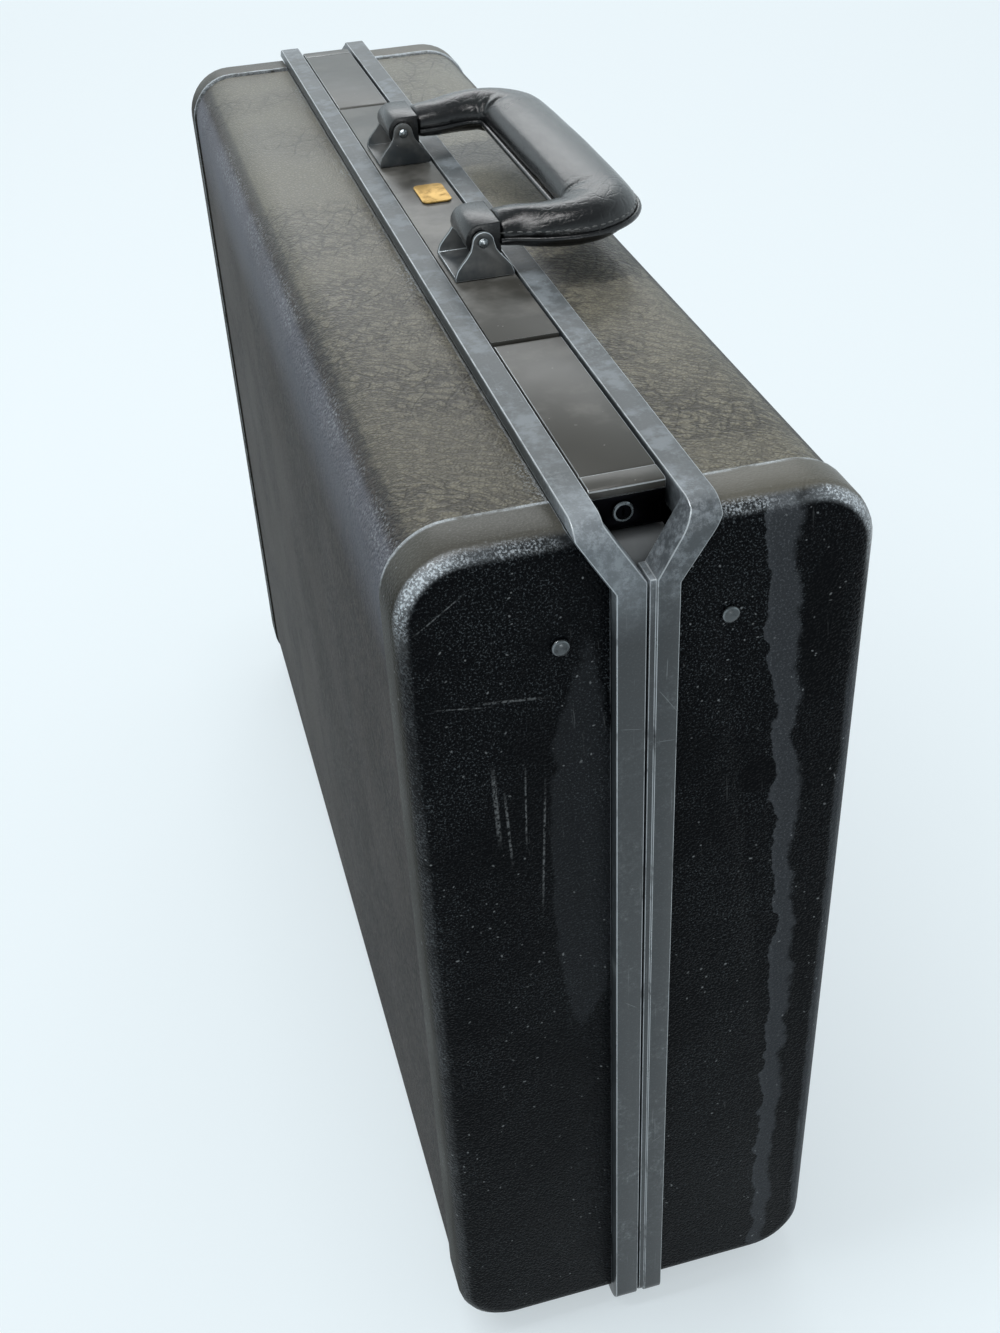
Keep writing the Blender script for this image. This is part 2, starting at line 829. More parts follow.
@dataclass(frozen=True)
class FrameMetal:
    """Satin dark blue-grey enamel on the metal bands, rubbed pale along its edges."""

    color: Color = (0.034, 0.041, 0.046)
    pale: Color = (0.150, 0.170, 0.180)
    chalk: Color = (0.30, 0.345, 0.38)
    bare: Color = (0.66, 0.71, 0.74)
    roughness: float = 0.38
    fork_y: Place = (205.0, 229.0)
    fork_z: Place = (306.0, 330.0)
    base_side_x: Place = (4.0, -4.0)
    top_z: Place = (343.6, 344.6)
    scratches: Tuple[Mark, ...] = (
        ((2.4, 291.0), (8.8, 281.0), 0.16),
        ((1.8, 272.5), (8.6, 272.0), 0.14),
        ((-8.4, 279.5), (-1.2, 278.0), 0.14),
        ((5.2, 301.0), (5.0, 293.0), 0.2),
        ((9.5, 322.0), (15.5, 317.5), 0.14),
        ((-14.0, 318.0), (-8.0, 322.5), 0.14),
        ((-6.5, 170.0), (-2.0, 166.0), 0.14),
        ((3.0, 96.0), (8.0, 99.0), 0.14),
    )
    cloud: Grain = Grain(24.0, 4.0, 0.65)
    fine: Grain = Grain(1.3, 3.0, 0.65, 4.0)
    grit: Grain = Grain(0.6, 2.0, 0.6, 12.0, (0.5, 0.75))
    hair: Grain = Grain(1.0, step=(0.66, 0.74), grid=((0, 0, 0), (1.6, 0.05, 0.05)))
    fork_patch: Grain = Grain(4.0, 6.0, 0.85, 14.0, (0.44, 0.64))
    top_patch: Grain = Grain(13.0, 4.0, 0.7, 33.0, (0.47, 0.64))
    edge_patch: Grain = Grain(16.0, 4.0, 0.75, 8.0, (0.25, 0.50))

    def build(self) -> bpy.types.Material:
        """Makes the material."""
        s = Shader("frame_enamel_worn")
        cloud = s.noise(self.cloud)
        fine = s.noise(self.fine)
        grit = s.noise(self.grit)
        cuts = s.streaks(self.scratches)
        scuff = cloud.over(0.46, 0.70) * fine.over(0.38, 0.7)
        hair = s.noise(self.hair) * cloud.over(0.42, 0.6)
        corner = abs(s.y).over(*self.fork_y) * s.z.over(*self.fork_z)
        chalk = corner * s.noise(self.fork_patch)
        chalk = chalk * 0.7 + corner * (0.2 + s.x.over(*self.base_side_x) * 0.5)
        chalk = chalk + fine.over(0.62, 0.72) * cloud.over(0.5, 0.66) * 0.6
        top = s.z.over(*self.top_z)
        chalk = chalk + top * s.noise(self.top_patch) * 0.6
        edge = s.attribute(WORN) * s.noise(self.edge_patch)
        dust = scuff * 0.6 + hair * 0.7 + grit * 0.22 + top * 0.5 + cuts * 0.9
        tint = s.blend(self.color, self.pale, dust.clip())
        tint = s.blend(tint, self.chalk, (chalk * 0.75).clip())
        tint = s.blend(tint, self.bare, edge * 0.65)
        rough = self.roughness + (cloud - 0.5) * 0.3 + chalk * 0.15 - edge * 0.08 + top * 0.1
        return s.finish(
            Base_Color=tint,
            Roughness=rough.clip(),
            Metallic=(edge * 0.5).clip(),
            Specular_IOR_Level=0.5,
            Normal=s.bump(fine + cloud, 0.12, 0.25),
        )


@dataclass(frozen=True)
class SatinPaint:
    """Satin paint on sheet metal, with dust specks and edges worn to the metal."""

    name: str
    color: Color
    edge: Color = (0.45, 0.47, 0.48)
    speck: Color = (0.38, 0.38, 0.36)
    roughness: float = 0.38
    edge_share: float = 0.6
    worn_from: float = 0.36
    recess: Color = (0.004, 0.004, 0.005)
    handled_y: Place = (112.0, 78.0)
    recess_y: Place = (215.2, 215.7)
    recess_top_z: Place = (342.0, 341.4)
    recess_foot_z: Place = (330.6, 331.4)
    worn_span: float = 0.18
    specks: Cells = Cells(3.4, (3.0, 1.2), (0.10, 0.05), "F1")
    cloud: Grain = Grain(18.0, 4.0, 0.6)
    skin: Grain = Grain(0.8, 2.0, 0.6, 6.0)
    speck_patch: Grain = Grain(13.0, offset=23.0, step=(0.45, 0.6))
    chips: Grain = Grain(6.0, 4.0, 0.75, 8.0)

    def build(self) -> bpy.types.Material:
        """Makes the material."""
        s = Shader(self.name)
        cloud = s.noise(self.cloud)
        skin = s.noise(self.skin)
        specks = s.cells(self.specks) * s.noise(self.speck_patch)
        chipped = s.noise(self.chips).over(self.worn_from, self.worn_from + self.worn_span)
        worn = s.attribute(WORN) * chipped
        handled = abs(s.y - HANDLE_MIDDLE_Y).over(*self.handled_y) * cloud.over(0.36, 0.60)
        dust = specks * 0.55 + cloud.over(0.5, 0.75) * 0.16 + handled * 0.2
        tint = s.blend(self.color, self.speck, dust.clip())
        # The bar's end under the latch lip is soiled black.
        under = s.z.over(*self.recess_top_z) * s.z.over(*self.recess_foot_z)
        under = under * abs(s.y).over(*self.recess_y)
        tint = s.blend(tint, self.recess, under)
        tint = s.blend(tint, self.edge, worn * self.edge_share)
        rough = self.roughness + (cloud - 0.5) * 0.24 + specks * 0.2
        return s.finish(
            Base_Color=tint,
            Roughness=rough.clip(),
            Metallic=(worn * 0.8 + under).clip(),
            Specular_IOR_Level=0.5,
            Normal=s.bump(skin, 0.12, 0.05),
        )


@dataclass(frozen=True)
class PlatedSteel:
    """Plated steel or brass, brushed and a little tarnished."""

    name: str
    color: Color = (0.50, 0.51, 0.52)
    tarnish: Color = (0.16, 0.15, 0.14)
    roughness: float = 0.32
    rim: float = 0.0
    rim_color: Color = (0.42, 0.46, 0.48)
    rim_squares: Place = (3.6, 6.0)
    dome_at: Place = (23.6, 307.9)
    brush: Grain = Grain(1.0, 2.0, 0.6, grid=((0, 0, 0), (3.0, 3.0, 0.2)))
    spots: Grain = Grain(3.0, 4.0, 0.7, 4.0, (0.45, 0.7))

    def build(self) -> bpy.types.Material:
        """Makes the material."""
        s = Shader(self.name)
        brushed = s.noise(self.brush)
        dull = s.noise(self.spots)
        tint = s.blend(self.color, self.tarnish, dull * 0.7)
        if self.rim:
            # The polished rim round each dome of the stays' rivets.
            across = abs(abs(s.x - CASE_MIDDLE_X) - self.dome_at[0])
            along = s.z - self.dome_at[1]
            rim = (across * across + along * along).over(*self.rim_squares)
            tint = s.blend(tint, self.rim_color, rim * self.rim)
        return s.finish(
            Base_Color=tint,
            Roughness=(self.roughness + dull * 0.2 + (brushed - 0.5) * 0.2).clip(),
            Metallic=0.95,
            Normal=s.bump(brushed, 0.08, 0.03),
        )


@dataclass(frozen=True)
class SmoothLeather:
    """Smooth glossy black leather, finely creased where it turns a corner."""

    color: Color = (0.0060, 0.0065, 0.0075)
    rubbed: Color = (0.040, 0.043, 0.042)
    roughness: float = 0.22
    bend_y: Place = (36.0, 50.0)
    bend_x: Place = (8.0, 22.0)
    pore: Cells = Cells(0.8, (2.4, 0.5), (0.0, 0.25))
    fold: Cells = Cells(3.6, (5.0, 1.6), (0.0, 0.1), grid=((0, 0, 35), (1.0, 0.45, 1.0)))
    cloud: Grain = Grain(16.0, 3.0, 0.6)

    def build(self) -> bpy.types.Material:
        """Makes the material."""
        s = Shader("handle_leather_polished")
        corner = abs(s.y - HANDLE_MIDDLE_Y).over(*self.bend_y) * s.x.over(*self.bend_x)
        creased = 1 - (1 - s.cells(self.fold)) * corner * 0.8
        cloud = s.noise(self.cloud)
        worn = cloud.over(0.5, 0.8)
        rough = self.roughness + (cloud - 0.5) * 0.08 + worn * 0.05
        return s.finish(
            Base_Color=s.blend(self.color, self.rubbed, worn * 0.12),
            Roughness=rough.clip(),
            Specular_IOR_Level=0.42,
            Coat_Weight=0.1,
            Coat_Roughness=0.15,
            Normal=s.bump(s.cells(self.pore) * 0.3 + creased, 0.32, 0.22),
        )


@dataclass(frozen=True)
class WovenCloth:
    """Plain woven lining cloth, a little faded."""

    name: str
    color: Color = (0.050, 0.046, 0.040)
    faded: Color = (0.10, 0.094, 0.083)
    thread: float = 0.55
    roughness: float = 0.9
    slub: Grain = Grain(1.0, 2.0, 0.6, grid=((0, 0, 0), (1.0, 0.1, 1.0)))
    cloud: Grain = Grain(50.0, 3.0, 0.6)

    def build(self) -> bpy.types.Material:
        """Makes the material."""
        s = Shader(self.name)
        turns = 2 * math.pi / self.thread
        along, across = (s.math("SINE", axis * turns) for axis in (s.y, s.z + s.x))
        weave = (along * across * 0.5 + 0.5).clip()
        slub = s.noise(self.slub)
        cloud = s.noise(self.cloud)
        mix = weave * 0.35 + slub.over(0.5, 0.8) * 0.25 + cloud.over(0.4, 0.8) * 0.3
        return s.finish(
            Base_Color=s.blend(self.color, self.faded, mix.clip()),
            Roughness=(self.roughness - weave * 0.08).clip(),
            Specular_IOR_Level=0.25,
            Sheen_Weight=0.25,
            Sheen_Roughness=0.5,
            Normal=s.bump(weave + slub * 0.5, 0.3, 0.12),
        )


@dataclass(frozen=True)
class SoftPlastic:
    """Matte black vinyl, rubber or thread with a fine texture."""

    name: str
    color: Color = (0.018, 0.018, 0.019)
    dusty: Color = (0.09, 0.09, 0.088)
    roughness: float = 0.6
    grain: Cells = Cells(1.1, (3.0, 0.5), (0.0, 0.3))
    cloud: Grain = Grain(14.0, 3.0, 0.6)

    def build(self) -> bpy.types.Material:
        """Makes the material."""
        s = Shader(self.name)
        cloud = s.noise(self.cloud)
        dust = cloud.over(0.5, 0.8) * 0.5
        return s.finish(
            Base_Color=s.blend(self.color, self.dusty, dust),
            Roughness=(self.roughness + (cloud - 0.5) * 0.15).clip(),
            Normal=s.bump(s.cells(self.grain), 0.25, 0.12),
        )


class FinishRack:
    """All finishes of the case, each made once."""

    def __init__(self) -> None:
        """Makes every material."""
        self.by_slot: Dict[Slot, bpy.types.Material] = {
            Slot.GRAINED_VINYL: GrainedVinyl().build(),
            Slot.PEBBLE_VINYL: PebbleVinyl().build(),
            Slot.FRAME_METAL: FrameMetal().build(),
            Slot.SATIN_BLACK: SatinPaint(
                "satin_black_paint", (0.050, 0.049, 0.043), worn_from=0.26, edge_share=0.75
            ).build(),
            Slot.BRACKET_METAL: SatinPaint(
                "bracket_enamel",
                (0.032, 0.040, 0.046),
                edge=(0.66, 0.71, 0.74),
                roughness=0.34,
                edge_share=0.9,
                worn_from=0.22,
            ).build(),
            Slot.BRIGHT_STEEL: PlatedSteel("plated_steel").build(),
            Slot.HANDLE_LEATHER: SmoothLeather().build(),
            Slot.LINING_CLOTH: WovenCloth("lining_cloth_woven").build(),
            Slot.POCKET_VINYL: SoftPlastic("pocket_vinyl_matte").build(),
            Slot.FOOT_PLASTIC: SoftPlastic("foot_plastic_matte", roughness=0.55).build(),
            Slot.BADGE_BRASS: PlatedSteel(
                "badge_brass_gilt",
                (0.66, 0.43, 0.14),
                tarnish=(0.40, 0.25, 0.09),
                roughness=0.42,
            ).build(),
        }
        self.thread = SoftPlastic(
            "waxed_thread",
            (0.085, 0.09, 0.09),
            dusty=(0.22, 0.22, 0.215),
            roughness=0.4,
            grain=Cells(0.5, (3.0, 0.5), (0.0, 0.3)),
        ).build()
        self.gusset = SatinPaint("gusset_grey", (0.115, 0.125, 0.13), roughness=0.5).build()
        self.dulled = PlatedSteel(
            "dulled_rivet_steel",
            (0.085, 0.092, 0.096),
            tarnish=(0.030, 0.033, 0.035),
            roughness=0.22,
            rim=0.35,
        ).build()


# Modelling tools


class Workshop:
    """Modelling steps that every sub-assembly uses, on the frame's bodies and nodes.

    Attributes:
        join_within: vertices nearer than this are one, in millimetres.
        flat_within_deg: faces that meet within this angle are one flat face.
        weld: how near vertices are joined before the edges are rounded, in millimetres.
        bevel_over_deg: edges sharper than this are rounded.
        free_bevels: words of the nodes whose rounding keeps its width past short edges.
        tube_steps: how finely a tube is rounded.
        tube_smooth_deg: a tube's faces that meet within this angle are shaded as one.
    """

    join_within = 0.002
    flat_within_deg = 0.5
    weld = 0.1
    bevel_over_deg = 30.0
    free_bevels = ("frame", "latch")
    tube_steps = 3
    tube_smooth_deg = 50.0

    def __init__(self, frame: Dict[str, Any], finishes: FinishRack) -> None:
        """Keeps the frame and works out which body and slot each node has.

        Args:
            finishes: the materials.
        """
        self.frame = frame
        self.finishes = finishes
        record = frame["record"]
        self.body_of = {
            node: body
            for body, nodes in record["behaviour"]["bodies"].items()
            for node in nodes
        }
        self.slot_of = {
            part["node"]: Slot(part["material_slot"]) for part in record["subparts"]
        }

    @staticmethod
    def only(piece: bpy.types.Object) -> None:
        """Selects one object alone and makes it active.

        Args:
            piece: the object.
        """
        bpy.ops.object.select_all(action="DESELECT")
        piece.select_set(True)
        bpy.context.view_layer.objects.active = piece

    @staticmethod
    def modify(piece: bpy.types.Object, kind: str, **settings: Any) -> None:
        """Adds a modifier to the active object and applies it.

        Args:
            piece: the object.
            kind: the modifier's type name.
            **settings: its properties.
        """
        modifier = piece.modifiers.new(kind.title(), kind)
        for key, value in settings.items():
            setattr(modifier, key, value)
        bpy.ops.object.modifier_apply(modifier=modifier.name)

    def paint(self, piece: bpy.types.Object, material: bpy.types.Material) -> None:
        """Gives a piece one material."""
        piece.data.materials.clear()
        piece.data.materials.append(material)

    def dress_nodes(self) -> None:
        """Gives every CAD node the finish of its slot."""
        for name, node in self.frame["nodes"].items():
            material = self.finish_of(name)
            for place in node.material_slots:
                place.link = "OBJECT"
                place.material = material
        LOG.info("dressed %d CAD nodes", len(self.frame["nodes"]))

    def merged_copy(self, node: str, name: str) -> bpy.types.Object:
        """Copies a CAD node's mesh with its loose triangles merged.

        Args:
            node: the CAD node.
            name: the new piece's name.

        Returns:
            The piece, active and in object mode.
        """
        piece = bpy.data.objects.new(name, self.frame["nodes"][node].data.copy())
        bpy.context.collection.objects.link(piece)
        self.only(piece)
        bpy.ops.object.mode_set(mode="EDIT")
        bpy.ops.mesh.select_all(action="SELECT")
        bpy.ops.mesh.remove_doubles(threshold=self.join_within * MM)
        bpy.ops.mesh.dissolve_limited(angle_limit=math.radians(self.flat_within_deg))
        bpy.ops.object.mode_set(mode="OBJECT")
        return piece

    def finish_of(self, node: str) -> bpy.types.Material:
        """The material of a node.

        Args:
            node: the CAD node.

        Returns:
            The finish of its slot, or a variant for rivets, pins, lock rims and gussets.
        """
        if "rivet" in node or "handle_pin" in node or "lock_barrel" in node:
            return self.finishes.dulled
        if "corner_web" in node:
            return self.finishes.gusset
        return self.finishes.by_slot[self.slot_of[node]]

    def mark_wear(self, piece: bpy.types.Object) -> None:
        """Turns the second material index, left by the bevel, into the wear attribute.

        Args:
            piece: the bevelled piece.
        """
        mesh = piece.data
        worn = mesh.attributes.new(WORN, "FLOAT", "CORNER")
        for face in mesh.polygons:
            share = 1.0 if face.material_index == 1 else 0.0
            for corner in face.loop_indices:
                worn.data[corner].value = share
            face.material_index = 0

    def softened(
        self,
        node: str,
        name: str,
        width: float,
        segments: int = 2,
        smooth: float = 32.0,
    ) -> bpy.types.Object:
        """Replaces a CAD node by a copy whose sharp edges are slightly rounded and worn.

        Args:
            node: the CAD node.
            name: the new piece's name.
            width: the rounding's width in millimetres.
            segments: the rounding's steps.
            smooth: faces that meet within this angle are shaded as one.

        Returns:
            The piece.
        """
        piece = self.merged_copy(node, name)
        self.modify(piece, "WELD", merge_threshold=self.weld * MM)
        finish = self.finish_of(node)
        piece.data.materials.clear()
        # The bevel gives its faces the second place, which mark_wear reads.
        for _ in range(2):
            piece.data.materials.append(finish)
        self.modify(
            piece,
            "BEVEL",
            width=width * MM,
            segments=segments,
            limit_method="ANGLE",
            angle_limit=math.radians(self.bevel_over_deg),
            use_clamp_overlap=not any(word in node for word in self.free_bevels),
            loop_slide=False,
            material=1,
        )
        self.mark_wear(piece)
        piece.data.materials.pop(index=1)
        bpy.ops.object.shade_smooth_by_angle(angle=math.radians(smooth))
        return self.settle(piece, node)

    def settle(self, piece: bpy.types.Object, *nodes: str) -> bpy.types.Object:
        """Makes a piece stand for CAD nodes and ride on their body, in their slot.

        Args:
            piece: the piece.
            *nodes: the nodes that it replaces.

        Returns:
            The piece.
        """
        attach(piece, self.body_of[nodes[0]])
        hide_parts(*nodes)
        LOG.info("%s stands for %s", piece.name, ", ".join(nodes))
        return piece

    def attach(
        self, piece: bpy.types.Object, body: str, slot: Slot, material: bpy.types.Material
    ) -> bpy.types.Object:
        """Adds a new piece to a body.

        Args:
            piece: the piece.
            body: the body that it rides on.
            slot: the record's slot that it takes its finish from.
            material: its material.

        Returns:
            The piece.
        """
        self.paint(piece, material)
        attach(piece, body)
        LOG.info("%s rides on %s", piece.name, body)
        return piece

    def tube(self, name: str, points: Sequence[Point], radius: float) -> bpy.types.Object:
        """A closed round tube along points.

        Args:
            name: the piece's name.
            points: the centreline, in metres.
            radius: the tube's radius, in metres.

        Returns:
            The piece, as a mesh.
        """
        bpy.ops.object.select_all(action="DESELECT")
        bpy.ops.curve.primitive_nurbs_path_add()
        wire = bpy.context.object
        wire.name = name
        curve = wire.data
        curve.splines.clear()
        line = curve.splines.new("POLY")
        line.points.add(len(points) - 1)
        for spot, point in zip(line.points, points):
            spot.co = (*point, 1.0)
        curve.twist_mode = "Z_UP"
        curve.bevel_depth = radius
        curve.bevel_resolution = self.tube_steps
        curve.use_fill_caps = True
        bpy.ops.object.convert(target="MESH")
        piece = bpy.context.object
        bpy.ops.object.mode_set(mode="EDIT")
        bpy.ops.mesh.select_all(action="SELECT")
        bpy.ops.mesh.remove_doubles(threshold=self.join_within * MM)
        bpy.ops.mesh.normals_make_consistent(inside=False)
        bpy.ops.object.mode_set(mode="OBJECT")
        bpy.ops.object.shade_smooth_by_angle(angle=math.radians(self.tube_smooth_deg))
        return piece


# Sub-assemblies


@dataclass
class Shells:
    """The two vinyl-covered halves with their moulded end caps."""

    shop: Workshop
    panel_edge: float = 0.8
    cap_edge: float = 1.3
    cap_steps: int = 3

    def build(self) -> None:
        """Softens the panels and caps."""
        for half in ("base", "lid"):
            self.shop.softened(f"{half}_panel", f"{half}_grained_shell", self.panel_edge)
            for side in SIDES:
                cap, name = f"{half}_end_cap_{side}", f"{half}_moulded_cap_{side}"
                self.shop.softened(cap, name, self.cap_edge, self.cap_steps)


@dataclass
class Hardware:
    """Frame bands, bar, latches, brackets, hinges, stays, locks and feet."""

    shop: Workshop
    smooth_deg: float = 32.0
    dome_smooth_deg: float = 65.0
    edges: Dict[str, Tuple[str, float]] = field(
        default_factory=lambda: {
            "base_frame": ("base_band", 0.32),
            "lid_frame": ("lid_band", 0.28),
            "centre_bar": ("handle_bar", 0.5),
            "latch_lever": ("latch_lever_plate", 0.25),
            "handle_bracket": ("handle_lug", 0.45),
            "handle_end": ("handle_tongue", 0.5),
            "corner_web": ("corner_gusset", 0.3),
            "badge_tab": ("plain_brass_tab", 0.2),
            "base_stay_rivet": ("base_dome_rivet", 0.2),
            "lid_stay_rivet": ("lid_dome_rivet", 0.2),
        }
    )

    def build(self) -> None:
        """Softens each piece that the camera sees closely."""
        for node in self.shop.frame["nodes"]:
            for stem, (name, width) in self.edges.items():
                if node == stem or node.startswith(stem + "_"):
                    suffix = node[len(stem):]
                    smooth = self.dome_smooth_deg if "rivet" in name else self.smooth_deg
                    self.shop.softened(node, name + suffix, width, smooth=smooth)


@dataclass
class HandlePath:
    """Centreline of the grip in the handle's plane, as in the CAD part, in millimetres."""

    reach: float = 45.5
    corner: float = 15.0
    leg_y: float = 59.3
    flare: float = 4.5
    start: float = 6.8
    half_width: float = 13.5
    leg_half_width: float = 10.5
    pivot: Place = (-0.1, 357.1)
    centre_y: float = HANDLE_MIDDLE_Y
    tilt_deg: float = 0.4

    def outline(self, steps: int = 16) -> List[Tuple[float, float]]:
        """The centreline from the near leg to the far leg.

        Args:
            steps: points on each curved stretch.

        Returns:
            Points as (reach, y).
        """
        straight = self.reach - self.corner
        outer = self.leg_y + self.flare
        side = outer - self.corner
        middle = (self.start + straight) / 2
        near: List[Tuple[float, float]] = []
        for i in range(steps + 1):
            t = i / steps
            w = ((1 - t) ** 3, 3 * (1 - t) ** 2 * t, 3 * (1 - t) * t * t, t ** 3)
            x = w[0] * self.start + (w[1] + w[2]) * middle + w[3] * straight
            y = (w[0] + w[1]) * self.leg_y + (w[2] + w[3]) * outer
            near.append((x, -y))
        for i in range(1, steps + 1):
            a = -math.pi / 2 + math.pi / 2 * i / steps
            near.append((straight + self.corner * math.cos(a), -side + self.corner * math.sin(a)))
        grip = [(self.reach, side * (2 * i / steps - 1)) for i in range(1, steps)]
        return near + grip + [(x, -y) for x, y in reversed(near)]

    def placed(self, reach: float, y: float, up: float) -> Point:
        """A point of the handle's plane in the case's frame.

        Args:
            reach: distance out from the pivot, in millimetres.
            y: place along the case.
            up: height over the handle's middle plane.

        Returns:
            The point in metres.
        """
        tilt = math.radians(self.tilt_deg)
        x = self.pivot[0] + reach * math.cos(tilt) - up * math.sin(tilt)
        z = self.pivot[1] + reach * math.sin(tilt) + up * math.cos(tilt)
        return (x * MM, (y + self.centre_y) * MM, z * MM)

    def flattened(self, point: Vector) -> Point:
        """The handle-plane coordinates of a point of the case's frame.

        Args:
            point: the point in metres.

        Returns:
            Reach, y and height over the handle's middle plane, in millimetres.
        """
        tilt = math.radians(self.tilt_deg)
        x = point.x / MM - self.pivot[0]
        z = point.z / MM - self.pivot[1]
        reach = x * math.cos(tilt) + z * math.sin(tilt)
        up = z * math.cos(tilt) - x * math.sin(tilt)
        return (reach, point.y / MM - self.centre_y, up)

    def edge_line(
        self, side: float, lift: float, out: float = 0.0, steps: int = 16
    ) -> List[Point]:
        """A line along the grip's edge.

        Args:
            side: 1 for the outer edge, -1 for the inner edge.
            lift: height over the middle plane, in millimetres.
            out: how far beyond the edge it runs.
            steps: as for outline.

        Returns:
            Points in metres.
        """
        path = self.outline(steps)
        line = []
        for i, (x, y) in enumerate(path):
            before, after = path[max(i - 1, 0)], path[min(i + 1, len(path) - 1)]
            run = Vector((after[0] - before[0], after[1] - before[1])).normalized()
            share = (x - self.start) / (self.reach - self.start)
            share = min(max(share, 0.0), 1.0)
            share = share * share * (3 - 2 * share)
            half = self.leg_half_width + (self.half_width - self.leg_half_width) * share
            reach = (half + out) * side
            line.append(self.placed(x + run.y * reach, y - run.x * reach, lift))
        return line


@dataclass
class Handle:
    """The padded leather grip with its welts and stitches."""

    shop: Workshop
    path: HandlePath = field(default_factory=HandlePath)
    voxel: float = 1.9
    held_reach: float = 3.0
    swell_cap: float = 1.1
    swell_frames: int = 16
    swell_quality: int = 5
    swell_pressure: float = 4.0
    swell_growth: float = 0.01
    smooth_share: float = 0.5
    smooth_rounds: int = 9
    welts: Tuple[Tuple[str, int, float], ...] = (("outer", 1, 0.2), ("inner", -1, 0.1))
    welt_radius: float = 1.0
    welt_lift: float = -1.2
    stitch_pitch: float = 3.1
    stitch_size: Point = (1.1, 0.34, 0.28)
    stitch_sides: int = 8
    stitch_rings: int = 6
    stitch_lift: float = 1.3
    stitch_inset: float = -0.2
    fold_depth: float = 0.85
    fold_reach: float = 9.0
    fold_angles: Tuple[float, ...] = (8.0, 45.0, 82.0)
    fold_width: float = 9.0
    end_gap: float = -0.1
    end_reach: float = 5.0
    end_share: float = 0.1

    def build(self) -> None:
        """Builds the grip, its welts and its stitches."""
        grip = self.grip()
        leather = self.shop.finishes.by_slot[Slot.HANDLE_LEATHER]
        for name, side, out in self.welts:
            line = self.path.edge_line(side, self.welt_lift, out)
            welt = self.shop.tube(f"handle_{name}_welt", line, self.welt_radius * MM)
            self.shop.attach(welt, "handle", Slot.HANDLE_LEATHER, leather)
        self.stitches(grip)

    def grip(self) -> bpy.types.Object:
        """The padded grip: the CAD solid swelled as cloth, creased and smoothed.

        Returns:
            The piece.
        """
        piece = self.shop.merged_copy("handle_grip", "padded_grip")
        self.shop.paint(piece, self.shop.finishes.by_slot[Slot.HANDLE_LEATHER])
        self.shop.modify(
            piece, "SUBSURF", levels=1, render_levels=1, subdivision_type="CATMULL_CLARK"
        )
        self.shop.modify(piece, "REMESH", mode="VOXEL", voxel_size=self.voxel * MM)
        self.swell(piece)
        self.shop.modify(
            piece, "SUBSURF", levels=1, render_levels=1, subdivision_type="CATMULL_CLARK"
        )
        self.crease(piece)
        self.pull_ends(piece)
        bpy.ops.object.shade_smooth()
        self.shop.settle(piece, "handle_grip")
        return piece

    def swell(self, piece: bpy.types.Object) -> None:
        """Inflates the grip a little as cloth, so that its leather looks filled.

        Args:
            piece: the remeshed grip.
        """
        held = piece.vertex_groups.new(name="held")
        ends = [
            v.index
            for v in piece.data.vertices
            if self.path.flattened(v.co)[0] < self.path.start + self.held_reach
        ]
        held.add(ends, 1.0, "REPLACE")
        rest = [v.co.copy() for v in piece.data.vertices]
        cloth = piece.modifiers.new("Swell", "CLOTH")
        cloth.settings.quality = self.swell_quality
        cloth.settings.use_pressure = True
        cloth.settings.uniform_pressure_force = self.swell_pressure
        cloth.settings.shrink_min = -self.swell_growth
        cloth.settings.vertex_group_mass = held.name
        cloth.settings.effector_weights.gravity = 0.0
        cloth.point_cache.frame_start = 1
        cloth.point_cache.frame_end = self.swell_frames
        scene = bpy.context.scene
        for frame in range(1, self.swell_frames + 1):
            scene.frame_set(frame)
        bpy.ops.object.modifier_apply(modifier=cloth.name)
        scene.frame_set(1)
        piece.vertex_groups.clear()
        cap = self.swell_cap * MM
        for vertex, old in zip(piece.data.vertices, rest):
            step = vertex.co - old
            if step.length > cap:
                vertex.co = old + step * (cap / step.length)
        self.shop.modify(piece, "SMOOTH", factor=self.smooth_share, iterations=self.smooth_rounds)

    def crease(self, piece: bpy.types.Object) -> None:
        """Presses the folds where the leather turns its inner corners.

        Args:
            piece: the grip.
        """
        centre_x = self.path.reach - self.path.corner
        centre_y = self.path.leg_y + self.path.flare - self.path.corner
        normals = [v.normal.copy() for v in piece.data.vertices]
        for vertex, normal in zip(piece.data.vertices, normals):
            x, y, _ = self.path.flattened(vertex.co)
            away = Vector((x - centre_x, abs(y) - centre_y))
            angle = math.degrees(math.atan2(away.y, away.x))
            press = sum(
                math.exp(-(((angle - fold) / self.fold_width) ** 2)) for fold in self.fold_angles
            )
            press *= math.exp(-((away.length / self.fold_reach) ** 2))
            vertex.co -= normal * (press * self.fold_depth * MM)

    def pull_ends(self, piece: bpy.types.Object) -> None:
        """Flattens the grip's rounded ends against the tongues they are sewn to.

        Args:
            piece: the grip.
        """
        low = min(self.path.flattened(v.co)[0] for v in piece.data.vertices)
        tilt = math.radians(self.path.tilt_deg)
        ahead = Vector((math.cos(tilt), 0.0, math.sin(tilt)))
        for vertex in piece.data.vertices:
            past = self.path.flattened(vertex.co)[0] - low
            if past < self.end_reach:
                share = self.end_share + (1 - self.end_share) * (past / self.end_reach) ** 2
                shift = self.path.start + self.end_gap + past * share - low - past
                vertex.co += ahead * (shift * MM)

